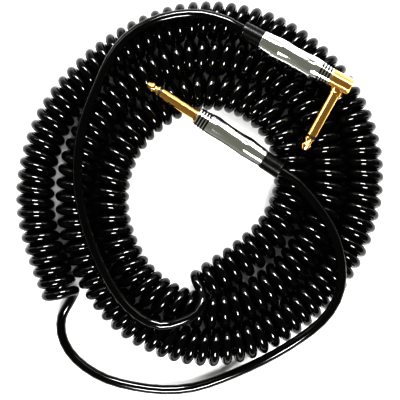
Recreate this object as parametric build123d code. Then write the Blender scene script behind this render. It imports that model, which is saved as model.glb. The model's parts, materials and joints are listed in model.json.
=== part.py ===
"""Coiled instrument cable with a straight and a right-angle 6.35 mm mono phone plug.

The curl lies wound in nearly three flat laps on a surface. The straight plug lies across the
hole of the laps, the right-angle plug lies on the outermost lap, and each plug's barrel
unscrews towards the cord.

Frame: millimetres, +Z up, the surface is z = 0, and the origin is under the middle of the laps.
"""
from build123d import *
import math
import os

# ---- cord and curl ----
CORD_RADIUS = 2.85                # outside of the jacket
CURL_RADIUS = 10.3                # outside of the curl
CURL_HEIGHT = CURL_RADIUS         # the curl's axis, lying on the surface
CURL_START = 217.0                # degrees: where the outermost lap begins
CURL_END = -808.0                 # degrees: the laps run clockwise to here
END_TRIM = 1.6                    # degrees: taken off each end
# distance of the curl's axis from the centre, at equal steps of angle from start to end
CURL_RADII = [
    104.4, 98.8, 95.0, 91.8, 96.2, 98.4, 98.2, 96.7, 93.6, 93.2, 97.3, 91.8,
    80.6, 74.7, 71.7, 71.0, 75.6, 77.6, 77.2, 75.2, 72.4, 72.2, 76.1, 69.2,
    59.2, 53.6, 50.6, 50.1, 54.8, 56.7, 56.2, 54.2, 50.7, 48.6, 54.4,
]

# ---- plug, along its axis from the tip ----
PIN_RADIUS = 3.175                # a 6.35 mm plug
ROD_RADIUS = 1.2                  # the tip's own rod, inside the sleeve
BUSH_RADIUS = 2.2                 # insulation between rod and sleeve
TIP_LENGTH = 7.9
RING_LENGTH = 1.4                 # insulating ring between tip and sleeve
STRAIGHT_SHAFT = 34.0             # tip to the barrel's front face
LIP_RADIUS = 4.0
LIP_LENGTH = 1.0
ANGLED_SHAFT = 43.9               # tip to the barrel's axis
NECK_RADIUS = 3.85
NECK_LENGTH = 2.4
SPIGOT_RADIUS = 2.95              # of the right-angle plug's sleeve inside its neck ring

# ---- barrel, along its axis from its front face ----
BARREL_LENGTH = 45.4
BARREL_FRONT = 5.5
BARREL_BULGE = 6.7
BARREL_WAIST = 6.15
BARREL_REAR = 5.6
BULGE_FROM_END = 12.0
BARREL_BORE = 4.8
GROOVE_COUNT = 4
GROOVE_PITCH = 1.8
GROOVE_DEPTH = 0.28
THREAD_RADIUS = 4.75              # the boss that the barrel screws onto, its thread made plain
THREAD_LENGTH = 8.5
LINER_OUTER = 4.65
LINER_INNER = 4.35
STEM_LENGTH = 9.4                 # of the boot, inside the barrel
BOOT_LENGTH = 12.3
BOOT_FRONT = 5.4
BOOT_REAR = 5.15
BOOT_BORE = CORD_RADIUS + 0.15
FACE_GAP = 0.1                    # between faces that turn on each other
SEAM_DEPTH = 4.0                  # how far inside the boot the lead begins

# ---- inside the barrel, from the same face ----
LUG_FACE = 1.35                   # the side of the tip lug that the core is soldered to
LUG_THICKNESS = 0.5
LUG_HALF_WIDTH = 1.2
LUG_END = 17.0
STRIP_FACE = -3.2                 # the side of the ground strip that the shield is soldered to
STRIP_END = 30.0
JACKET_START = 23.5
CORE_X = 1.0
SHIELD_X = -2.3

# ---- elbow of the right-angle plug ----
ELBOW_RADIUS = 5.6
ELBOW_LENGTH = 12.7
ELBOW_CAVITY = 3.6
CAP_RADIUS = 4.3
CAP_LENGTH = 1.4
NECK_START = ANGLED_SHAFT - ELBOW_RADIUS - NECK_LENGTH

# ---- where the plugs lie: a point on the axis and the direction towards the cord ----
STRAIGHT_HEIGHT = 25.2
STRAIGHT_TIP = (-31.1, 57.7, STRAIGHT_HEIGHT)
STRAIGHT_HEADING = -33.1
ANGLED_HEIGHT = 28.0
ANGLED_END = (85.3, 54.7, ANGLED_HEIGHT)
ANGLED_HEADING = 151.2

# ---- free stretches of cord: each leaves its boot straight, turns at these corners in order,
# ---- and meets the curl's end face square on ----
EXIT_RUN = 14.3                   # from the seam inside the boot to the first corner
STRAIGHT_LEAD = [
    (66.0, -11.2, 24.3), (74.8, -24.2, 24.0), (80.0, -38.5, 23.9), (81.8, -53.5, 23.4),
    (79.0, -67.6, 22.0), (70.3, -80.2, 20.4), (57.3, -90.2, 18.9), (43.2, -99.6, 15.6),
    (28.0, -108.2, 9.4), (12.0, -115.8, 4.4), (-5.0, -121.8, 3.1), (-23.4, -123.0, 3.0),
    (-40.5, -120.6, 3.1), (-56.4, -116.8, 3.0), (-70.2, -109.0, 3.1), (-79.6, -99.6, 3.0),
    (-84.3, -88.6, 3.1), (-83.6, -78.4, 3.0),
]
STRAIGHT_JOINT = (2.6, -6.9)      # on the end face: towards the middle of the laps, and up
STRAIGHT_JOINT_RUN = 7.0
ANGLED_LEAD = [
    (1.0, 98.5, 25.6), (-15.6, 98.0, 23.9), (-31.3, 93.4, 23.8), (-44.4, 84.6, 23.9),
    (-53.8, 72.0, 23.8), (-60.0, 57.2, 23.9), (-66.4, 42.6, 23.8), (-70.6, 27.0, 23.9),
    (-72.2, 10.4, 23.8), (-71.2, -6.5, 23.9), (-67.6, -23.0, 23.8), (-62.2, -38.4, 23.9),
    (-55.6, -53.0, 23.8), (-47.4, -66.4, 23.9), (-36.8, -77.0, 23.8), (-23.4, -82.9, 24.0),
    (-12.0, -79.6, 24.4), (-6.9, -71.2, 25.0),
]
ANGLED_JOINT = (-3.0, 6.7)
ANGLED_JOINT_RUN = 7.2


# ---------- helpers ----------
def turned(*edges):
    """Solid of revolution about local Z, from a closed outline drawn as (radius, height)."""
    return revolve(make_face(Plane.XZ * Curve(list(edges))), Axis.Z)


def ring(inner, outer, low, high):
    """Tube about local Z between two radii and two heights."""
    tube = Pos(0, 0, low) * Cylinder(outer, high - low, align=(Align.CENTER, Align.CENTER, Align.MIN))
    if inner > 0:
        tube -= Pos(0, 0, low - 1) * Cylinder(
            inner, high - low + 2, align=(Align.CENTER, Align.CENTER, Align.MIN)
        )
    return tube


def block(x_range, y_range, z_range):
    """Box between the given limits."""
    sides = [high - low for low, high in (x_range, y_range, z_range)]
    corner = [low for low, high in (x_range, y_range, z_range)]
    return Pos(*corner) * Box(*sides, align=(Align.MIN, Align.MIN, Align.MIN))


def heading_vector(degrees):
    """Level unit vector at an angle from +X."""
    return Vector(math.cos(math.radians(degrees)), math.sin(math.radians(degrees)), 0)


def corner_radii(points):
    """Radius of each corner's arc: 0.45 of the shorter run over the tangent of half the turn."""
    radii = []
    for before, here, after in zip(points, points[1:], points[2:]):
        into, out = here - before, after - here
        half_turn = math.radians(into.get_angle(out)) / 2
        radii.append(0.45 * min(into.length, out.length) / math.tan(half_turn))
    return radii


def tube_along(name, corners, radius):
    """Round tube along straight runs joined by tangent arcs; prints its radii and volume."""
    points = [Vector(*corner) for corner in corners]
    radii = corner_radii(points)
    path = FilletPolyline(*points, radius=radii)
    start = Plane(origin=points[0], z_dir=points[1] - points[0])
    tube = sweep(start * Circle(radius), path=path)
    share = tube.volume / (math.pi * radius**2 * path.length)
    runs = [(b - a).length for a, b in zip(points, points[1:])]
    print(f"{name}: {path.length:.1f} mm long, volume {share:.4f} of section x length")
    print("  arc radii in diameters:", " ".join(f"{r / (2 * radius):.1f}" for r in radii))
    print("  runs:", " ".join(f"{run:.1f}" for run in runs))
    return tube


# ---------- the curl ----------
def curl_corners():
    """Corners of the laps; a round lap touches the middles of its runs, so they stand outside it."""
    steps = len(CURL_RADII) - 1
    step = (CURL_END - CURL_START) / steps
    outward = 1 / math.cos(math.radians(step / 2))
    corners = []
    for index, axis_radius in enumerate(CURL_RADII):
        angle = CURL_START + index * step
        reach = axis_radius * outward
        if index in (0, steps):
            angle += END_TRIM if index else -END_TRIM
            reach = axis_radius
        place = heading_vector(angle) * reach
        corners.append((place.X, place.Y, CURL_HEIGHT))
    return corners


def square_meeting(corners, offset, run):
    """Last corner and end of a lead that meets the curl's first corner square to its face."""
    end, beyond = Vector(*corners[0]), Vector(*corners[1])
    along = (beyond - end).normalized()
    away_from_middle = Vector(end.X, end.Y, 0)
    sideways = along.cross(Vector(0, 0, 1))
    if sideways.dot(away_from_middle) > 0:
        sideways = -sideways
    inwards, up = offset
    joint = end + sideways * inwards + Vector(0, 0, up)
    return [joint - along * run, joint]


# ---------- contacts of a plug, along local Z from the tip ----------
def tip_contact(rod_end):
    """Nose, waist and shoulder of the tip, in one piece with its rod."""
    return turned(
        Line((0, 0), (0.9, 0)),
        ThreePointArc((0.9, 0), (1.55, 0.35), (1.9, 0.95)),
        Line((1.9, 0.95), (2.95, 3.1)),
        ThreePointArc((2.95, 3.1), (3.05, 3.6), (2.85, 4.1)),
        ThreePointArc((2.85, 4.1), (2.25, 5.3), (2.75, 6.5)),
        Line((2.75, 6.5), (3.1, 7.1)),
        Line((3.1, 7.1), (3.1, TIP_LENGTH)),
        Line((3.1, TIP_LENGTH), (ROD_RADIUS, TIP_LENGTH)),
        Line((ROD_RADIUS, TIP_LENGTH), (ROD_RADIUS, rod_end)),
        Line((ROD_RADIUS, rod_end), (0, rod_end)),
        Line((0, rod_end), (0, 0)),
    )


def shaft_insulation(bush_end):
    """Ring that shows between tip and sleeve, and the bush inside the sleeve."""
    ring_end = TIP_LENGTH + RING_LENGTH
    tip_ring = ring(ROD_RADIUS, 2.9, TIP_LENGTH, ring_end)
    bush = ring(ROD_RADIUS, BUSH_RADIUS, ring_end, bush_end)
    return tip_ring, bush


# ---------- what both barrels hold, along local Z from the barrel's front face ----------
def barrel():
    """Waisted shell with fine grooves round its front."""
    rear_bulge = BARREL_LENGTH - BULGE_FROM_END
    middle = BARREL_LENGTH / 2
    front = FACE_GAP
    shell = turned(
        Line((BARREL_BORE, front), (BARREL_FRONT, front)),
        Line((BARREL_FRONT, front), (BARREL_BULGE, BULGE_FROM_END)),
        ThreePointArc((BARREL_BULGE, BULGE_FROM_END), (BARREL_WAIST, middle), (BARREL_BULGE, rear_bulge)),
        Line((BARREL_BULGE, rear_bulge), (BARREL_REAR, BARREL_LENGTH)),
        Line((BARREL_REAR, BARREL_LENGTH), (BARREL_BORE, BARREL_LENGTH)),
        Line((BARREL_BORE, BARREL_LENGTH), (BARREL_BORE, front)),
    )
    slope = (BARREL_BULGE - BARREL_FRONT) / BULGE_FROM_END
    for index in range(GROOVE_COUNT):
        height = GROOVE_PITCH * (index + 1)
        floor = BARREL_FRONT + slope * height - GROOVE_DEPTH
        shell -= ring(floor, BARREL_BULGE, height - GROOVE_PITCH / 4, height + GROOVE_PITCH / 4)
    return shell


def boot():
    """Rubber strain relief, whose stem fills the barrel's rear end."""
    stem_start = BARREL_LENGTH - STEM_LENGTH
    shoulder = BARREL_LENGTH + FACE_GAP
    rear = BARREL_LENGTH + BOOT_LENGTH
    rim = 0.6
    return turned(
        Line((BOOT_BORE, stem_start), (LINER_OUTER, stem_start)),
        Line((LINER_OUTER, stem_start), (LINER_OUTER, shoulder)),
        Line((LINER_OUTER, shoulder), (BOOT_FRONT, shoulder)),
        Line((BOOT_FRONT, shoulder), (BOOT_REAR, rear - rim)),
        ThreePointArc((BOOT_REAR, rear - rim), (BOOT_REAR - 0.18, rear - 0.18), (BOOT_REAR - rim, rear)),
        Line((BOOT_REAR - rim, rear), (BOOT_BORE, rear)),
        Line((BOOT_BORE, rear), (BOOT_BORE, stem_start)),
    )


def ground_clamp():
    """Strip from the boss to the jacket, with a crimped band that grips the jacket."""
    low = THREAD_LENGTH
    strip = block((STRIP_FACE - 0.5, STRIP_FACE), (-1.2, 1.2), (low, STRIP_END))
    band = ring(CORD_RADIUS + 0.01, 3.45, STRIP_END - 5.5, STRIP_END)
    gap = block((0, 4), (-1.3, 1.3), (STRIP_END - 6, STRIP_END + 1))
    return strip + (band - gap)


def cable_end():
    """Prepared end of the cord inside the barrel, with its solder joints."""
    core_end = LUG_END + 1.0
    seam = BARREL_LENGTH + BOOT_LENGTH - SEAM_DEPTH
    jacket = ring(0, CORD_RADIUS, JACKET_START, seam)
    insulation = Pos(CORE_X, 0, 0) * ring(0, 1.2, core_end, JACKET_START)
    core = Pos(CORE_X, 0, 0) * ring(0, 0.35, LUG_END - 4.5, core_end)
    shield = Pos(SHIELD_X, 0, 0) * ring(0, 0.5, JACKET_START - 7.5, JACKET_START)
    core_solder = Pos(LUG_FACE, 0, LUG_END - 3) * Sphere(0.9)
    core_solder -= block((LUG_FACE, 4), (-2, 2), (0, LUG_END + 5))
    core_solder -= core
    shield_solder = Pos(STRIP_FACE, 0, JACKET_START - 6) * Sphere(1.3)
    shield_solder -= block((-6, STRIP_FACE), (-3, 3), (0, JACKET_START))
    shield_solder -= shield
    return {
        "jacket_end": jacket, "core_insulation": insulation, "core_wire": core,
        "shield_tail": shield, "core_solder": core_solder, "shield_solder": shield_solder,
    }


def barrel_group():
    """Everything behind the boss that both plugs share."""
    pieces = cable_end()
    pieces["ground_clamp"] = ground_clamp()
    pieces["barrel"] = barrel()
    pieces["liner"] = ring(LINER_INNER, LINER_OUTER, THREAD_LENGTH + 0.5, BARREL_LENGTH - STEM_LENGTH)
    pieces["boot"] = boot()
    return pieces


# ---------- the straight plug ----------
def lead_exit(front, towards_cord):
    """First two corners of a lead: the seam inside the boot, and a straight run out of it."""
    seam = front + towards_cord * (BARREL_LENGTH + BOOT_LENGTH - SEAM_DEPTH)
    return [seam, seam + towards_cord * EXIT_RUN]


def straight_plug():
    """Pieces of the straight plug in the row frame, by name, and its lead's first corners."""
    towards_cord = heading_vector(STRAIGHT_HEADING)
    tip_plane = Plane(origin=STRAIGHT_TIP, x_dir=(0, 0, 1), z_dir=towards_cord)
    front = Vector(*STRAIGHT_TIP) + towards_cord * STRAIGHT_SHAFT
    barrel_plane = Plane(origin=front, x_dir=(0, 0, 1), z_dir=towards_cord)
    boss_end = STRAIGHT_SHAFT + THREAD_LENGTH
    washer_end = boss_end + 0.8
    sleeve_start = TIP_LENGTH + RING_LENGTH
    tip_ring, bush = shaft_insulation(boss_end)
    sleeve = ring(BUSH_RADIUS, PIN_RADIUS, sleeve_start, STRAIGHT_SHAFT)
    sleeve += ring(BUSH_RADIUS, LIP_RADIUS, STRAIGHT_SHAFT - LIP_LENGTH, STRAIGHT_SHAFT)
    sleeve += ring(BUSH_RADIUS, THREAD_RADIUS, STRAIGHT_SHAFT, boss_end)
    lug = ring(ROD_RADIUS, 2.6, washer_end, washer_end + LUG_THICKNESS)
    lug += block(
        (LUG_FACE, LUG_FACE + LUG_THICKNESS), (-LUG_HALF_WIDTH, LUG_HALF_WIDTH),
        (washer_end, STRAIGHT_SHAFT + LUG_END),
    )
    contacts = {
        "tip_contact": tip_contact(washer_end + 1.0),
        "tip_ring": tip_ring,
        "inner_bush": bush,
        "sleeve_contact": sleeve,
        "rear_washer": ring(ROD_RADIUS, 3.1, boss_end, washer_end),
        "tip_lug": lug,
    }
    placed = {name: tip_plane.location * shape for name, shape in contacts.items()}
    placed.update({name: barrel_plane.location * shape for name, shape in barrel_group().items()})
    named = {f"straight_{name}": shape for name, shape in placed.items()}
    return named, lead_exit(front, towards_cord)


# ---------- the right-angle plug ----------
def elbow():
    """Body, end cap and neck ring, along local Z from the barrel's front; the shaft comes from -X."""
    end = -ELBOW_LENGTH
    chamfer = 0.5
    shaft_height = end / 2
    outer = turned(
        Line((0, end), (ELBOW_RADIUS - chamfer, end)),
        Line((ELBOW_RADIUS - chamfer, end), (ELBOW_RADIUS, end + chamfer)),
        Line((ELBOW_RADIUS, end + chamfer), (ELBOW_RADIUS, -0.3)),
        Line((ELBOW_RADIUS, -0.3), (ELBOW_RADIUS - 0.3, 0)),
        Line((ELBOW_RADIUS - 0.3, 0), (0, 0)),
        Line((0, 0), (0, end)),
    )
    boss = ring(0, THREAD_RADIUS, -0.5, THREAD_LENGTH)
    cap_face = end + 0.3
    cap = ring(0, CAP_RADIUS, cap_face, cap_face + CAP_LENGTH)
    lug_tube = ring(2.6, 3.25, -1.0, THREAD_LENGTH)
    cavity = ring(0, ELBOW_CAVITY, cap_face + CAP_LENGTH, 0)
    bore = ring(0, 3.25, -1, THREAD_LENGTH + 1)
    recess = ring(0, CAP_RADIUS, end - 1, cap_face + CAP_LENGTH)
    towards_axis = Plane(origin=(-ANGLED_SHAFT, 0, shaft_height), x_dir=(0, 0, 1), z_dir=(1, 0, 0))
    shaft_hole = towards_axis.location * ring(0, SPIGOT_RADIUS, ANGLED_SHAFT - 9, ANGLED_SHAFT)
    neck = towards_axis.location * ring(SPIGOT_RADIUS, NECK_RADIUS, NECK_START, NECK_START + 5)
    body = outer + boss - cavity - bore - recess - shaft_hole
    return body, cap, neck - outer, lug_tube, towards_axis


def angled_plug():
    """Pieces of the right-angle plug in the row frame, by name, and its lead's first corners."""
    towards_cord = heading_vector(ANGLED_HEADING)
    front = Vector(*ANGLED_END) + towards_cord * ELBOW_LENGTH
    tip_to_elbow = heading_vector(ANGLED_HEADING - 90)
    barrel_plane = Plane(origin=front, x_dir=tip_to_elbow, z_dir=towards_cord)
    body, cap, neck, lug_tube, towards_axis = elbow()
    wall_inside = ANGLED_SHAFT - ELBOW_CAVITY
    bush_end = wall_inside + 0.7
    lug_low = ANGLED_SHAFT + LUG_FACE
    tip_ring, bush = shaft_insulation(bush_end)
    sleeve = ring(BUSH_RADIUS, PIN_RADIUS, TIP_LENGTH + RING_LENGTH, NECK_START)
    sleeve += ring(BUSH_RADIUS, SPIGOT_RADIUS, NECK_START, wall_inside - 0.1)
    contacts = {
        "tip_contact": tip_contact(lug_low + LUG_THICKNESS + 0.3),
        "tip_ring": tip_ring,
        "inner_bush": bush,
        "sleeve_contact": sleeve,
        "rod_spacer": ring(ROD_RADIUS, 1.9, bush_end, lug_low),
    }
    pieces = {name: towards_axis.location * shape for name, shape in contacts.items()}
    shaft_height = -ELBOW_LENGTH / 2
    lug = block(
        (LUG_FACE, LUG_FACE + LUG_THICKNESS), (-LUG_HALF_WIDTH, LUG_HALF_WIDTH), (shaft_height, LUG_END)
    )
    eye = Plane(origin=(LUG_FACE, 0, shaft_height), z_dir=(1, 0, 0))
    lug += eye.location * ring(0, 2.2, 0, LUG_THICKNESS)
    lug -= eye.location * ring(0, ROD_RADIUS, -1, 2)
    pieces["tip_lug"] = lug
    pieces["elbow_body"] = body
    pieces["elbow_cap"] = cap
    pieces["neck_ring"] = neck
    pieces["lug_tube"] = lug_tube
    pieces.update(barrel_group())
    placed = {f"angled_{name}": barrel_plane.location * shape for name, shape in pieces.items()}
    return placed, lead_exit(front, towards_cord)


# ---------- the whole cable ----------
def build():
    """Every node by name."""
    laps = curl_corners()
    nodes, straight_exit = straight_plug()
    angled_nodes, angled_exit = angled_plug()
    nodes.update(angled_nodes)
    straight_end = square_meeting(laps, STRAIGHT_JOINT, STRAIGHT_JOINT_RUN)
    angled_end = square_meeting(laps[::-1], ANGLED_JOINT, ANGLED_JOINT_RUN)
    nodes["curly_coil"] = tube_along("curly_coil", laps, CURL_RADIUS)
    nodes["straight_lead"] = tube_along(
        "straight_lead", [*straight_exit, *STRAIGHT_LEAD, *straight_end], CORD_RADIUS
    )
    nodes["angled_lead"] = tube_along(
        "angled_lead", [*angled_exit, *ANGLED_LEAD, *angled_end], CORD_RADIUS
    )
    return nodes


os.makedirs("parts", exist_ok=True)
NODES = build()
for node_name, node_shape in NODES.items():
    export_step(node_shape, f"parts/{node_name}.step")
print(len(NODES), "nodes written")
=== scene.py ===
"""Looks of a coiled instrument cable with a straight and a right-angle phone plug.

Lengths are in metres, except that a turned piece's outline is in millimetres.
"""
import json
import math
import bpy
import bmesh
from mathutils import Matrix, Vector, noise


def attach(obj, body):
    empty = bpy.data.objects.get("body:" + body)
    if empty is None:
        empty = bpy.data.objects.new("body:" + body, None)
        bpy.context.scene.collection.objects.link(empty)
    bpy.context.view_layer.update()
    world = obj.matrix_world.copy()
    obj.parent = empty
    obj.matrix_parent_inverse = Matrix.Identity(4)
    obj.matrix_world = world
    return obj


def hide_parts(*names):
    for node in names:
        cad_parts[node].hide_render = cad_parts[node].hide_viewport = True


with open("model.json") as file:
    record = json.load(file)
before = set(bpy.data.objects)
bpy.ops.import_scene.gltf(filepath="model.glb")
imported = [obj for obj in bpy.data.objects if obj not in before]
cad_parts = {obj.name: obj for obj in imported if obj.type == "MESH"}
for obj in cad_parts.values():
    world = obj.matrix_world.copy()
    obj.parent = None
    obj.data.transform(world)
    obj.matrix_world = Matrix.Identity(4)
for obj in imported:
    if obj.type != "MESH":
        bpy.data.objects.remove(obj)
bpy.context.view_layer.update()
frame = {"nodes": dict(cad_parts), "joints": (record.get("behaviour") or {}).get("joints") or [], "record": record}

UP = Vector((0, 0, 1))
MM = 0.001
SIDES = ("straight", "angled")


# ---------- camera and light ----------
FOCAL_LENGTH, SENSOR_WIDTH = 100, 36
CAMERA_PLACE = (-0.0009, -0.0093, 0.666)


def look_down():
    """Camera straight above, with +Y up in the picture."""
    lens = bpy.data.cameras.new("camera")
    lens.lens = FOCAL_LENGTH
    lens.sensor_width = SENSOR_WIDTH
    camera = bpy.data.objects.new("camera", lens)
    camera.location = CAMERA_PLACE
    bpy.context.scene.collection.objects.link(camera)
    bpy.context.scene.camera = camera


def softbox(name, direction, distance, width, height, watts, seen_by):
    """Rectangular light that faces the object; seen_by is the one kind of ray that it lights."""
    light = bpy.data.lights.new(name, "AREA")
    light.shape = "RECTANGLE"
    light.size = width
    light.size_y = height
    light.energy = watts
    place = bpy.data.objects.new(name, light)
    towards = Vector(direction).normalized()
    place.location = towards * distance
    place.rotation_euler = (-towards).to_track_quat("-Z", "Y").to_euler()
    place.visible_camera = False
    place.visible_diffuse = seen_by == "diffuse"
    place.visible_glossy = seen_by == "glossy"
    bpy.context.scene.collection.objects.link(place)


# ---------- materials ----------
GROOVE_PITCH = 0.0018             # between grooves; the first is one pitch behind a barrel's front
GROOVE_COUNT = 4
GROOVE_SHADE = (0.22, 0.28)        # where the painted shade in a groove starts to clear and is gone, in pitches from a groove


class Value:
    """A node's output that arithmetic can be written on."""

    def __init__(self, nodes, socket):
        self.nodes = nodes
        self.socket = socket

    def maths(self, operation, other):
        return self.nodes.node("ShaderNodeMath", {"operation": operation}, {0: self, 1: other})

    def __add__(self, other):
        return self.maths("ADD", other)

    def __sub__(self, other):
        return self.maths("SUBTRACT", other)

    def __rsub__(self, other):
        return self.nodes.node("ShaderNodeMath", {"operation": "SUBTRACT"}, {0: other, 1: self})

    def __mul__(self, other):
        return self.maths("MULTIPLY", other)

    __radd__ = __add__
    __rmul__ = __mul__


class Nodes:
    """A node tree that nodes are added to."""

    def __init__(self, tree):
        self.tree = tree

    def node(self, kind, settings=None, inputs=None, output=0):
        """Adds a node: its settings first, then the values or links of its sockets."""
        made = self.tree.nodes.new(kind)
        for name, value in (settings or {}).items():
            if name == "stops":
                for element, (position, shade) in zip(made.color_ramp.elements, value):
                    element.position = position
                    element.color = (shade, shade, shade, 1)
            else:
                setattr(made, name, value)
        for name, value in (inputs or {}).items():
            if isinstance(value, Value):
                self.tree.links.new(value.socket, made.inputs[name])
            else:
                made.inputs[name].default_value = value
        return Value(self, made.outputs[output])

    def ramp(self, value, low, high, bottom, top):
        """Bottom shade below the low value, top shade above the high one."""
        return self.node("ShaderNodeValToRGB", {"stops": [(low, bottom), (high, top)]}, {"Fac": value})

    def blend(self, factor, first, second):
        """Colour between two others."""
        return self.node(
            "ShaderNodeMix", {"data_type": "RGBA"}, {"Factor": factor, 6: first, 7: second}, 2
        )


class Finish(Nodes):
    """A material built up from nodes around one Principled shader.

    The constants are set on the shader's own sockets, with _ for each space in a socket's name.
    """

    def __init__(self, name, **constants):
        self.material = bpy.data.materials.new(name)
        self.material.use_nodes = True
        super().__init__(self.material.node_tree)
        self.shader = self.tree.nodes["Principled BSDF"]
        for socket, value in constants.items():
            self.shader.inputs[socket.replace("_", " ")].default_value = value

    def place(self):
        """Position on the piece."""
        return self.node("ShaderNodeTexCoord", output="Object")

    def speckle(self, scale, detail=3.0, roughness=0.5, stretch=None):
        """Noise from 0 to 1, its grain drawn out along an axis where one is given."""
        where = self.place()
        if stretch is not None:
            where = self.node(
                "ShaderNodeVectorMath", {"operation": "MULTIPLY"}, {0: where, 1: stretch}
            )
        return self.node(
            "ShaderNodeTexNoise", {"noise_dimensions": "3D"},
            {"Vector": where, "Scale": scale, "Detail": detail, "Roughness": roughness},
        )

    def along(self, direction):
        """Distance along a direction, in metres."""
        return self.node(
            "ShaderNodeVectorMath", {"operation": "DOT_PRODUCT"},
            {0: self.place(), 1: direction}, "Value",
        )

    def rings(self, direction, scale):
        """Noise that changes only along an axis, like the marks of a lathe tool."""
        return self.node(
            "ShaderNodeTexNoise", {"noise_dimensions": "1D"},
            {"W": self.along(direction), "Scale": scale, "Detail": 2.0},
        )

    def feed(self, socket, value):
        """Links a value to a socket of the shader."""
        self.tree.links.new(value.socket, self.shader.inputs[socket])

    def relief(self, height, distance, strength):
        """Small surface relief: the height's full range stands for the distance, in metres."""
        bump = self.node(
            "ShaderNodeBump", None,
            {"Height": height, "Distance": distance, "Strength": strength},
        )
        self.feed("Normal", bump)


def grey(level, warmth=0.0):
    """Opaque grey, with its red raised and its blue lowered by the warmth."""
    return (level * (1 + warmth), level, level * (1 - warmth), 1)


def jacket_finish():
    """Smooth black PVC with a faint mottle left by the extruder and by handling."""
    pvc = Finish("jacket_pvc", Specular_IOR_Level=0.34, IOR=1.48)
    mottle = pvc.speckle(60.0)
    pvc.feed("Base Color", pvc.blend(mottle, grey(0.0012), grey(0.0034, 0.04)))
    haze = pvc.speckle(240.0, 4.0)
    pvc.feed("Roughness", 0.07 + 0.04 * mottle + 0.04 * haze)
    pvc.relief(pvc.speckle(900.0, 2.0), 0.00002, 0.25)
    return pvc.material


def rubber_finish():
    """Satin moulded rubber with a fine grain."""
    rubber = Finish("boot_rubber", Specular_IOR_Level=0.25)
    grain = rubber.speckle(2600.0, 2.0)
    cloud = rubber.speckle(140.0)
    rubber.feed("Base Color", rubber.blend(cloud, grey(0.0015), grey(0.005, 0.03)))
    rubber.feed("Roughness", 0.20 + 0.10 * cloud + 0.05 * grain)
    rubber.relief(grain, 0.00003, 0.35)
    return rubber.material


def chrome_finish(name, front, direction):
    """Polished chrome over a turned shell: tool rings, light smears, and painted shade darkening the grooves."""
    chrome = Finish(name, Metallic=1.0)
    smear = chrome.speckle(90.0, 4.0)
    tool = chrome.rings(direction, 5200.0)
    behind_front = chrome.along(direction) - front.dot(direction)
    from_groove = (behind_front * (1 / GROOVE_PITCH)).maths("PINGPONG", 0.5)
    in_groove = chrome.ramp(from_groove, *GROOVE_SHADE, 1.0, 0.0)
    past_front = behind_front.maths("GREATER_THAN", GROOVE_PITCH / 2)
    before_waist = behind_front.maths("LESS_THAN", GROOVE_PITCH * (GROOVE_COUNT + 0.5))
    # painted shade: this mask marks the grooves near the front, where the base colour is darkened
    painted_groove_shade = in_groove * past_front * before_waist
    polish = chrome.blend(smear, (0.83, 0.84, 0.84, 1), (0.74, 0.74, 0.70, 1))
    # painted shade: the base colour goes dark grey inside the grooves
    chrome.feed("Base Color", chrome.blend(painted_groove_shade, polish, grey(0.06, 0.08)))
    chrome.feed("Roughness", 0.045 + 0.07 * smear * smear + 0.02 * tool)
    chrome.relief(tool, 0.00001, 0.10)
    return chrome.material


def gold_finish(name, direction):
    """Bright gold plate over turned brass."""
    gold = Finish(name, Metallic=1.0)
    cloud = gold.speckle(160.0, 3.0)
    tool = gold.rings(direction, 6500.0)
    gold.feed("Base Color", gold.blend(cloud, (0.88, 0.57, 0.23, 1), (0.76, 0.46, 0.16, 1)))
    gold.feed("Roughness", 0.07 + 0.06 * cloud + 0.05 * tool)
    gold.relief(tool, 0.000004, 0.10)
    return gold.material


def plastic_finish(name, dark, light, rough):
    """Turned or moulded insulating plastic."""
    plastic = Finish(name)
    cloud = plastic.speckle(300.0)
    plastic.feed("Base Color", plastic.blend(cloud, dark, light))
    plastic.feed("Roughness", rough + 0.15 * cloud)
    plastic.relief(plastic.speckle(1800.0), 0.00002, 0.3)
    return plastic.material


def clear_finish():
    """Thin clear tube, clouded a little by rubbing."""
    clear = Finish("liner_clear", Transmission_Weight=0.85, IOR=1.46)
    cloud = clear.speckle(200.0)
    clear.feed("Base Color", clear.blend(cloud, (0.80, 0.82, 0.82, 1), (0.66, 0.68, 0.68, 1)))
    clear.feed("Roughness", 0.12 + 0.3 * cloud)
    return clear.material


def wire_finish():
    """Fine bare copper strands, twisted together and dulled in places."""
    wire = Finish("bare_copper", Metallic=1.0)
    dull = wire.speckle(700.0)
    strands = wire.node(
        "ShaderNodeTexWave", {"wave_type": "BANDS", "bands_direction": "DIAGONAL"},
        {"Vector": wire.place(), "Scale": 900.0, "Distortion": 0.6},
    )
    wire.feed("Base Color", wire.blend(dull, (0.86, 0.42, 0.24, 1), (0.45, 0.18, 0.09, 1)))
    wire.feed("Roughness", 0.25 + 0.25 * dull)
    wire.relief(strands, 0.00008, 0.8)
    return wire.material


def tin_finish():
    """Stamped, tin-plated sheet with rolling marks."""
    tin = Finish("tinned_sheet", Metallic=1.0)
    rolled = tin.speckle(220.0, 5.0, 0.6, (1.0, 1.0, 9.0))
    stain = tin.speckle(90.0)
    tin.feed("Base Color", tin.blend(stain, (0.66, 0.65, 0.61, 1), (0.50, 0.48, 0.43, 1)))
    tin.feed("Roughness", 0.24 + 0.24 * rolled)
    tin.relief(rolled, 0.00002, 0.4)
    return tin.material


def solder_finish():
    """Cooled solder, bright with a frosted skin."""
    solder = Finish("solder", Metallic=1.0)
    frost = solder.speckle(1500.0, 4.0)
    solder.feed("Base Color", solder.blend(frost, (0.72, 0.72, 0.73, 1), (0.50, 0.50, 0.52, 1)))
    solder.feed("Roughness", 0.18 + 0.35 * frost)
    solder.relief(solder.speckle(600.0, 3.0), 0.0001, 0.6)
    return solder.material


def floor_finish():
    """Plain white sheet."""
    sheet = Finish("white_sheet", Roughness=0.8, Specular_IOR_Level=0.1)
    sheet.feed("Base Color", sheet.blend(sheet.speckle(30.0), grey(0.88), grey(0.90)))
    return sheet.material


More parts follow.
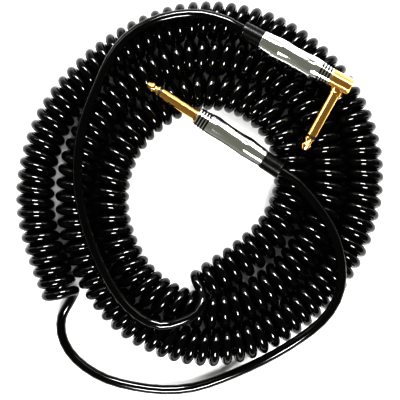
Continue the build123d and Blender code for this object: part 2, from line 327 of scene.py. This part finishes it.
# ---------- the cord ----------
CORD_RADIUS = 0.00285
CURL_HEIGHT = 0.0103              # of the curl's middle above the floor
RISE = 0.00745                    # of the cord's middle above and below the curl's middle
REACH = 0.0086                    # of the cord's middle to either side of it
CLOSE_PITCH = 0.00637             # between turns, along the inner side of a lap
END_RATE, END_REACH = 0.75, 0.006   # fewer turns at the very ends, and how far in that reaches
RATE_WANDER = 0.05                # shares by which the turns' spacing and size wander
SIZE_WANDER = 0.018
LEAN_WANDER = 0.0005              # how far a turn leans along the curl
POINTS_PER_TURN = 12
LINE_RESOLUTION = 24
# degrees round the laps, and how far the middle stops short of its first and last corner
CURL_START, CURL_END, END_TRIM = 217.0, -808.0, 1.6
CURL_RADII = [
    0.1044, 0.0988, 0.0950, 0.0918, 0.0962, 0.0984, 0.0982, 0.0967, 0.0936, 0.0932, 0.0973, 0.0918,
    0.0806, 0.0747, 0.0717, 0.0710, 0.0756, 0.0776, 0.0772, 0.0752, 0.0724, 0.0722, 0.0761, 0.0692,
    0.0592, 0.0536, 0.0506, 0.0501, 0.0548, 0.0567, 0.0562, 0.0542, 0.0507, 0.0486, 0.0544,
]
STRAIGHT_LEAD = [
    (0.0660, -0.0112, 0.0243), (0.0748, -0.0242, 0.0240), (0.0800, -0.0385, 0.0239),
    (0.0818, -0.0535, 0.0234), (0.0790, -0.0676, 0.0220), (0.0703, -0.0802, 0.0204),
    (0.0573, -0.0902, 0.0189), (0.0432, -0.0996, 0.0156), (0.0280, -0.1082, 0.0094),
    (0.0120, -0.1158, 0.0044), (-0.0050, -0.1218, 0.0031), (-0.0234, -0.1230, 0.0030),
    (-0.0405, -0.1206, 0.0031), (-0.0564, -0.1168, 0.0030), (-0.0702, -0.1090, 0.0031),
    (-0.0796, -0.0996, 0.0030), (-0.0843, -0.0886, 0.0031), (-0.0836, -0.0784, 0.0030),
]
ANGLED_LEAD = [
    (0.0010, 0.0985, 0.0256), (-0.0156, 0.0980, 0.0239), (-0.0313, 0.0934, 0.0238),
    (-0.0444, 0.0846, 0.0239), (-0.0538, 0.0720, 0.0238), (-0.0600, 0.0572, 0.0239),
    (-0.0664, 0.0426, 0.0238), (-0.0706, 0.0270, 0.0239), (-0.0722, 0.0104, 0.0238),
    (-0.0712, -0.0065, 0.0239), (-0.0676, -0.0230, 0.0238), (-0.0622, -0.0384, 0.0239),
    (-0.0556, -0.0530, 0.0238), (-0.0474, -0.0664, 0.0239), (-0.0368, -0.0770, 0.0238),
    (-0.0234, -0.0829, 0.0240), (-0.0120, -0.0796, 0.0244), (-0.0069, -0.0712, 0.0250),
]
# the curl's first and last turns, beyond the ends of its tube
OUTER_RUN_ON = (-0.0822, -0.0665, CURL_HEIGHT)
INNER_RUN_ON = [(0.0062, -0.0562, CURL_HEIGHT), (-0.0006, -0.0616, CURL_HEIGHT)]
FIRST_PHASE = 262                 # degrees round the curl from its top, growing outwards
LAST_PHASE = 10
# the first turn rises from the floor on the inner side, and the last one leaves over the top
ENTERING_TURN = [(-0.0794, -0.0716, 0.0045)]
LEAVING_TURN = [(0.0010, -0.0668, 0.0220), (-0.0014, -0.0750, 0.0246)]
BARREL_AND_BOOT = 0.0577          # from a barrel's front to the end of its boot
SEAM_DEPTH = 0.004                # how far inside the boot the cord begins
EXIT_RUN = 0.0143                 # in line with the plug from there
EXIT_SHARES = (0, 0.78, 1)        # of that run: keeps it straight for as far as the boot travels


def smooth_curve(name, points, resolution):
    """Curve of one open spline that is drawn smoothly towards each of the points."""
    curve = bpy.data.curves.new(name, "CURVE")
    curve.dimensions = "3D"
    spline = curve.splines.new("NURBS")
    spline.points.add(len(points) - 1)
    for target, point in zip(spline.points, points):
        target.co = (*point, 1)
    spline.order_u = 3
    spline.use_endpoint_u = True
    spline.resolution_u = resolution
    curve.resolution_u = resolution
    return curve


def along_curve(points, resolution):
    """Points along the smooth line."""
    line = bpy.data.objects.new("line", smooth_curve("line", points, resolution))
    mesh = bpy.data.meshes.new_from_object(line)
    found = [vertex.co.copy() for vertex in mesh.vertices]
    bpy.data.meshes.remove(mesh)
    curve = line.data
    bpy.data.objects.remove(line)
    bpy.data.curves.remove(curve)
    return found


def lap_corners():
    """Corners that the curl's middle is drawn towards, lap after lap."""
    steps = len(CURL_RADII) - 1
    step = (CURL_END - CURL_START) / steps
    outward = 1 / math.cos(math.radians(step / 2))
    corners = []
    for index, radius in enumerate(CURL_RADII):
        angle = CURL_START + index * step
        reach = radius * outward
        if index in (0, steps):
            angle += END_TRIM if index else -END_TRIM
            reach = radius
        turn = math.radians(angle)
        corners.append(Vector((math.cos(turn) * reach, math.sin(turn) * reach, CURL_HEIGHT)))
    return corners


def run_on(corners):
    """The same corners, with the curl's ends run on by the turns that lie beyond its tube."""
    return [Vector(OUTER_RUN_ON)] + corners[:-1] + [Vector(point) for point in INNER_RUN_ON]


def helix(corners):
    """The cord's own points through the curl: turns lie close on the inner side of each lap."""
    line = along_curve(corners, LINE_RESOLUTION)
    lengths = [0.0]
    turns = [0.0]
    total = sum((b - a).length for a, b in zip(line, line[1:]))
    for a, b in zip(line, line[1:]):
        step = (b - a).length
        middle = (a + b) / 2
        lap = Vector((middle.x, middle.y, 0)).length
        rate = (lap - REACH) / (lap * CLOSE_PITCH)
        from_end = min(lengths[-1], total - lengths[-1])
        rate *= END_RATE + (1 - END_RATE) * min(1.0, from_end / END_REACH)
        rate *= 1 + RATE_WANDER * noise.noise(middle * 130)
        lengths.append(lengths[-1] + step)
        turns.append(turns[-1] + step * rate)
    part = (LAST_PHASE - FIRST_PHASE) / 360
    whole = round(turns[-1] - part) + part
    stretch = whole / turns[-1]
    count = round(whole * POINTS_PER_TURN)
    tighten = math.cos(math.pi / POINTS_PER_TURN)
    points = []
    segment = 0
    for index in range(count + 1):
        wanted = whole * index / count / stretch
        while segment < len(line) - 2 and turns[segment + 1] < wanted:
            segment += 1
        share = (wanted - turns[segment]) / (turns[segment + 1] - turns[segment])
        centre = line[segment].lerp(line[segment + 1], min(1.0, share))
        along = (line[segment + 1] - line[segment]).normalized()
        outward = UP.cross(along)
        phase = math.radians(FIRST_PHASE) + math.tau * whole * index / count
        loose = (1 + SIZE_WANDER * noise.noise(centre * 90 + Vector((3, 7, 1)))) / tighten
        lean = LEAN_WANDER * noise.noise(centre * 60 + Vector((9, 2, 5)))
        shift = outward * (REACH * math.sin(phase)) + UP * (RISE * math.cos(phase))
        points.append(centre + shift * loose + along * lean * math.cos(phase))
    return points


def barrel_frame(side):
    """Where a plug's barrel starts, and the direction towards the cord, both from its joint."""
    joint = next(j for j in frame["joints"] if j["name"] == f"{side}_barrel_turn")
    return Vector(joint["pos_m"]), Vector(joint["axis"]).normalized()


def cord_points():
    """Control points of the whole cord, from inside the straight plug's boot to the other's."""
    corners = lap_corners()
    ends = {}
    for side in SIDES:
        front, towards_cord = barrel_frame(side)
        seam = front + towards_cord * (BARREL_AND_BOOT - SEAM_DEPTH)
        ends[side] = [seam + towards_cord * (EXIT_RUN * share) for share in EXIT_SHARES]
    # the right-angle lead is laid away from the curl, whose last turn takes the place of its end
    points = ends["straight"] + STRAIGHT_LEAD + ENTERING_TURN + helix(run_on(corners))
    points += LEAVING_TURN + ANGLED_LEAD[-2::-1] + ends["angled"][::-1]
    return [Vector(point) for point in points]


def lay_cord(finish):
    """One cord, from plug to plug."""
    curve = smooth_curve("cord", cord_points(), 2)
    curve.bevel_depth = CORD_RADIUS
    curve.bevel_resolution = 6
    curve.use_fill_caps = True
    curve.materials.append(finish)
    cord = bpy.data.objects.new("cord", curve)
    bpy.context.scene.collection.objects.link(cord)
    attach(cord, "cable")
    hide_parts("curly_coil", "straight_lead", "angled_lead")
    return cord


# ---------- turned pieces ----------
CRISP_EDGE = math.radians(8)
ON_AXIS = 1e-6
NOSE_TO_BARREL = 0.034            # along the straight plug, in metres
NOSE_TO_MOUNT = 0.0226            # from the nose to the middle of the right-angle plug's sleeve
# the rest are in millimetres
STRAIGHT_ROD_END, ANGLED_ROD_END = 44.3, 46.05
THREAD_PITCH, THREAD_DEPTH = 0.75, 0.4
THREAD_STEP = THREAD_PITCH / 8
GROOVE_DEPTH, GROOVE_FLOOR, GROOVE_MOUTH = 0.28, 0.36, 0.48


def arc(start, middle, end, count):
    """Points of the arc through three points of an outline, without its first."""
    (ax, ay), (bx, by), (cx, cy) = start, middle, end
    a, b, c = ax**2 + ay**2, bx**2 + by**2, cx**2 + cy**2
    d = 2 * (ax * (by - cy) + bx * (cy - ay) + cx * (ay - by))
    ux = (a * (by - cy) + b * (cy - ay) + c * (ay - by)) / d
    uy = (a * (cx - bx) + b * (ax - cx) + c * (bx - ax)) / d
    radius = math.hypot(ax - ux, ay - uy)
    first, mid, last = (math.atan2(y - uy, x - ux) for x, y in (start, middle, end))
    span = (last - first) % math.tau
    if (mid - first) % math.tau > span:
        span -= math.tau
    angles = [first + span * i / count for i in range(1, count + 1)]
    return [(ux + radius * math.cos(angle), uy + radius * math.sin(angle)) for angle in angles]


def axis_matrix(origin, direction):
    """Local Z along a direction, local X as near up as it can be."""
    z = Vector(direction).normalized()
    x = (UP - z * UP.dot(z)).normalized()
    y = z.cross(x)
    matrix = Matrix((x, y, z)).transposed().to_4x4()
    matrix.translation = origin
    return matrix


def turned(name, frame_matrix, outline, finish, body, node, sides=96, thread=None):
    """Piece turned about local Z from a closed outline of (radius, height) in millimetres.

    An edge of more than CRISP_EDGE stays crisp. thread is the lowest and highest height of a thread.
    """
    mesh = bmesh.new()
    rings = []
    for radius, height in outline:
        if radius < ON_AXIS:
            rings.append([mesh.verts.new((0, 0, height * MM))])
            continue
        ring = []
        for index in range(sides):
            angle = math.tau * index / sides
            here = radius
            if thread and thread[0] <= height <= thread[1]:
                low, high = thread
                fade = min(1.0, (height - low) / THREAD_PITCH, (high - height) / THREAD_PITCH)
                place = (height / THREAD_PITCH - angle / math.tau) % 1
                here -= THREAD_DEPTH * fade * abs(2 * place - 1)
            across = here * MM
            corner = (across * math.cos(angle), across * math.sin(angle), height * MM)
            ring.append(mesh.verts.new(corner))
        rings.append(ring)
    count = len(rings)
    for index in range(count):
        a, b = rings[index], rings[(index + 1) % count]
        if len(a) == 1 and len(b) == 1:
            continue
        for side in range(sides):
            other = (side + 1) % sides
            if len(a) == 1:
                mesh.faces.new((a[0], b[side], b[other]))
            elif len(b) == 1:
                mesh.faces.new((a[side], b[0], a[other]))
            else:
                mesh.faces.new((a[side], b[side], b[other], a[other]))
    bmesh.ops.recalc_face_normals(mesh, faces=mesh.faces)
    for face in mesh.faces:
        face.smooth = True
    for edge in mesh.edges:
        if len(edge.link_faces) == 2 and edge.calc_face_angle(0) > CRISP_EDGE:
            edge.smooth = False
    data = bpy.data.meshes.new(name)
    mesh.to_mesh(data)
    mesh.free()
    data.materials.append(finish)
    data.transform(frame_matrix)
    piece = bpy.data.objects.new(name, data)
    bpy.context.scene.collection.objects.link(piece)
    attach(piece, body)
    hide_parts(node)
    return piece


def tip_outline(rod_end):
    """Nose, waist and shoulder of a plug's tip, then its rod."""
    outline = [(0, 0), (0.9, 0)]
    outline += arc((0.9, 0), (1.55, 0.35), (1.9, 0.95), 6)
    outline += [(2.95, 3.1)]
    outline += arc((2.95, 3.1), (3.05, 3.6), (2.85, 4.1), 6)
    outline += arc((2.85, 4.1), (2.25, 5.3), (2.75, 6.5), 12)
    outline += [(3.02, 6.98), (3.1, 7.12), (3.1, 7.8), (3.0, 7.9)]
    outline += [(1.2, 7.9), (1.2, rod_end), (0, rod_end)]
    return outline


def barrel_outline():
    """Waisted shell with fine grooves round its front."""
    outline = [(4.8, 0.1), (5.36, 0.1), (5.5, 0.24)]
    for index in range(GROOVE_COUNT):
        height = (index + 1) * GROOVE_PITCH / MM
        surface = 5.5 + 0.1 * height
        outline += [
            (surface - 0.05, height - GROOVE_MOUTH), (surface - GROOVE_DEPTH, height - GROOVE_FLOOR),
            (surface - GROOVE_DEPTH, height + GROOVE_FLOOR), (surface + 0.03, height + GROOVE_MOUTH),
        ]
    outline += [(6.7, 12.0)]
    outline += arc((6.7, 12.0), (6.15, 22.7), (6.7, 33.4), 40)
    outline += [(5.62, 45.2), (5.46, 45.4), (4.8, 45.4)]
    return outline


def boot_outline():
    """Tapered strain relief with a rounded rim, and its stem."""
    outline = [(3.0, 36.0), (4.65, 36.0), (4.65, 45.5), (5.3, 45.5), (5.4, 45.62)]
    outline += [(5.2, 56.2)]
    outline += arc((5.2, 56.2), (5.13, 56.5), (5.18, 56.8), 4)
    outline += [(5.15, 57.1)]
    outline += arc((5.15, 57.1), (4.97, 57.52), (4.55, 57.7), 8)
    outline += [(3.3, 57.7)]
    outline += arc((3.3, 57.7), (3.09, 57.61), (3.0, 57.4), 4)
    return outline


def threaded_boss(start):
    """Outline of a threaded boss from its shoulder, close enough for the thread to be cut into it."""
    return [(4.75, start + 0.08 + i * THREAD_STEP) for i in range(89)]


def make_plugs(finishes):
    """Both plugs' turned pieces, each on the body of the node that it stands for."""
    pieces = {}
    for side in SIDES:
        front, towards_cord = barrel_frame(side)
        along_barrel = axis_matrix(front, towards_cord)
        chrome = finishes[f"{side}_chrome"]
        pieces[f"{side}_barrel"] = turned(
            f"{side}_barrel_shell", along_barrel, barrel_outline(), chrome,
            f"{side}_barrel_shell", f"{side}_barrel", sides=128,
        )
        pieces[f"{side}_boot"] = turned(
            f"{side}_rubber_boot", along_barrel, boot_outline(), finishes["rubber"],
            f"{side}_boot_and_liner", f"{side}_boot",
        )
    front, towards_cord = barrel_frame("straight")
    along_tip = axis_matrix(front - towards_cord * NOSE_TO_BARREL, towards_cord)
    gold = finishes["straight_gold"]
    sleeve = [(2.2, 9.3), (3.05, 9.3), (3.175, 9.42), (3.175, 33.0), (3.85, 33.0)]
    sleeve += [(4.0, 33.15), (4.0, 33.85), (3.85, 34.0), (4.3, 34.0)]
    sleeve += threaded_boss(34.0) + [(4.5, 42.45), (4.4, 42.5), (2.2, 42.5)]
    pieces["straight_sleeve_contact"] = turned(
        "straight_sleeve", along_tip, sleeve, gold, "cable", "straight_sleeve_contact",
        thread=(34.1, 42.45),
    )
    pieces["straight_tip_contact"] = turned(
        "straight_tip", along_tip, tip_outline(STRAIGHT_ROD_END), gold,
        "cable", "straight_tip_contact",
    )
    front, towards_cord = barrel_frame("angled")
    mount = next(m for m in frame["record"]["mounts"] if m["name"] == "angled_jack")
    towards_elbow = -Vector(mount["axis"]).normalized()
    nose = Vector(mount["pos_m"]) - towards_elbow * NOSE_TO_MOUNT
    along_shaft = axis_matrix(nose, towards_elbow)
    along_barrel = axis_matrix(front, towards_cord)
    gold = finishes["angled_gold"]
    pieces["angled_tip_contact"] = turned(
        "angled_tip", along_shaft, tip_outline(ANGLED_ROD_END), gold,
        "cable", "angled_tip_contact",
    )
    sleeve = [(2.2, 9.3), (3.05, 9.3), (3.175, 9.42), (3.175, 35.9)]
    sleeve += [(2.95, 35.9), (2.95, 40.2), (2.2, 40.2)]
    pieces["angled_sleeve_contact"] = turned(
        "angled_sleeve", along_shaft, sleeve, gold, "cable", "angled_sleeve_contact",
    )
    neck = [(2.95, 35.9), (3.6, 35.9), (3.85, 36.15), (3.85, 37.1)]
    neck += arc((3.85, 37.1), (3.55, 37.4), (3.85, 37.7), 6) + [(3.85, 39.4), (2.95, 39.4)]
    pieces["angled_neck_ring"] = turned(
        "angled_neck", along_shaft, neck, gold, "cable", "angled_neck_ring",
    )
    gold = finishes["angled_elbow_gold"]
    body = [(4.3, -12.4), (4.3, -12.7), (5.1, -12.7), (5.6, -12.2), (5.6, -0.3), (5.3, 0), (4.3, 0)]
    body += threaded_boss(0) + [(4.5, 8.45), (4.4, 8.5), (3.25, 8.5), (3.25, 0)]
    body += [(3.6, 0), (3.6, -11.0), (4.3, -11.0)]
    pieces["angled_elbow_body"] = turned(
        "angled_elbow", along_barrel, body, gold, "cable", "angled_elbow_body",
        sides=128, thread=(0.1, 8.45),
    )
    cap = [(0, -12.4), (3.9, -12.4), (4.2, -12.3), (4.3, -12.2), (4.3, -11.0), (0, -11.0)]
    pieces["angled_elbow_cap"] = turned(
        "angled_cap", along_barrel, cap, gold, "cable", "angled_elbow_cap",
    )
    return pieces


def finish_inner_nodes(finishes):
    """Gives each carried-over node its finish."""
    by_ending = {
        "jacket_end": "jacket", "core_insulation": "core_plastic", "core_wire": "copper",
        "shield_tail": "copper", "core_solder": "solder", "shield_solder": "solder",
        "tip_ring": "insulator", "inner_bush": "insulator", "rear_washer": "insulator",
        "rod_spacer": "insulator", "lug_tube": "insulator", "tip_lug": "tin",
        "ground_clamp": "tin", "liner": "clear",
    }
    for name, node in frame["nodes"].items():
        for ending, finish in by_ending.items():
            if name.endswith(ending):
                node.data.materials.clear()
                node.data.materials.append(finishes[finish])


# ---------- stage ----------
LIGHT_TILT = math.radians(43)     # of every light from straight above
LIGHT_DISTANCE = 1.2
BULB_DISTANCE = 1.19              # in front of the fill and the strip
BULB_SIZES = {"far": (0.50, 0.36), "near": (0.42, 0.36)}
BULB_RADIANCE = 48.0
FILL_SIZE, FILL_WATTS = 0.8, 21.0
STRIP_SIZE = (2.1, 0.24)
STRIP_RADIANCE = 7.5
FLOOR_HALF_SIZE = 3.0
FLOOR_DROP = 0.0002               # keeps the floor just under the cord


def power(radiance, width, height):
    """Watts of a rectangular light that shines evenly."""
    return radiance * math.pi * width * height


def make_studio():
    """Surroundings that are white low down on the far side and an olive grey elsewhere."""
    world = bpy.data.worlds.new("studio")
    bpy.context.scene.world = world
    world.use_nodes = True
    studio = Nodes(world.node_tree)
    towards = studio.node("ShaderNodeTexCoord", output="Generated")
    height = studio.node("ShaderNodeSeparateXYZ", None, {0: towards}, "Z")
    depth = studio.node("ShaderNodeSeparateXYZ", None, {0: towards}, "Y")
    low_down = studio.ramp(height, 0.36, 0.56, 1.0, 0.0)
    far_side = studio.ramp(0.5 * depth + 0.5, 0.58, 0.75, 0.1, 1.0)
    shade = studio.blend(low_down * far_side, (0.20, 0.20, 0.178, 1), grey(1.0))
    studio.tree.links.new(shade.socket, studio.tree.nodes["Background"].inputs["Color"])


def make_stage():
    """White floor, a light on each side, a strip behind the far one, and the studio round them."""
    mesh = bmesh.new()
    bmesh.ops.create_grid(mesh, x_segments=8, y_segments=8, size=FLOOR_HALF_SIZE)
    data = bpy.data.meshes.new("floor")
    mesh.to_mesh(data)
    mesh.free()
    data.materials.append(floor_finish())
    floor = bpy.data.objects.new("floor", data)
    floor.location = (0, 0, -FLOOR_DROP)
    bpy.context.scene.collection.objects.link(floor)
    towards = {
        "far": (0, math.sin(LIGHT_TILT), math.cos(LIGHT_TILT)),
        "near": (0, -math.sin(LIGHT_TILT), math.cos(LIGHT_TILT)),
    }
    for name, size in BULB_SIZES.items():
        softbox(
            f"{name}_bulb", towards[name], BULB_DISTANCE, *size,
            power(BULB_RADIANCE, *size), "glossy",
        )
        softbox(
            f"{name}_fill", towards[name], LIGHT_DISTANCE, FILL_SIZE, FILL_SIZE,
            FILL_WATTS, "diffuse",
        )
    softbox(
        "far_strip", towards["far"], LIGHT_DISTANCE, *STRIP_SIZE,
        power(STRIP_RADIANCE, *STRIP_SIZE), "glossy",
    )
    make_studio()
    bpy.context.scene.view_settings.view_transform = "Standard"
    bpy.context.scene.view_settings.look = "Very High Contrast"


def build():
    """The whole scene: camera, stage, cord, plugs, and the finishes of all of them."""
    look_down()
    make_stage()
    front, towards_cord = barrel_frame("straight")
    angled_front, towards_angled_cord = barrel_frame("angled")
    shaft = next(m for m in frame["record"]["mounts"] if m["name"] == "angled_jack")["axis"]
    ivory, ivory_light = (0.62, 0.58, 0.50, 1), (0.72, 0.69, 0.61, 1)
    finishes = {
        "jacket": jacket_finish(),
        "rubber": rubber_finish(),
        "straight_chrome": chrome_finish("straight_chrome", front, towards_cord),
        "angled_chrome": chrome_finish("angled_chrome", angled_front, towards_angled_cord),
        "straight_gold": gold_finish("straight_gold", towards_cord),
        "angled_gold": gold_finish("angled_gold", shaft),
        "angled_elbow_gold": gold_finish("angled_elbow_gold", towards_angled_cord),
        "insulator": plastic_finish("black_insulator", grey(0.006), grey(0.014), 0.3),
        "core_plastic": plastic_finish("core_insulation", ivory, ivory_light, 0.35),
        "clear": clear_finish(),
        "copper": wire_finish(),
        "tin": tin_finish(),
        "solder": solder_finish(),
    }
    cord = lay_cord(finishes["jacket"])
    pieces = make_plugs(finishes)
    finish_inner_nodes(finishes)
    on_angled = [piece for name, piece in pieces.items() if name.startswith("angled")]
    on_angled += [
        node for name, node in frame["nodes"].items()
        if name.startswith("angled") and name not in pieces and name != "angled_lead"
    ]


build()
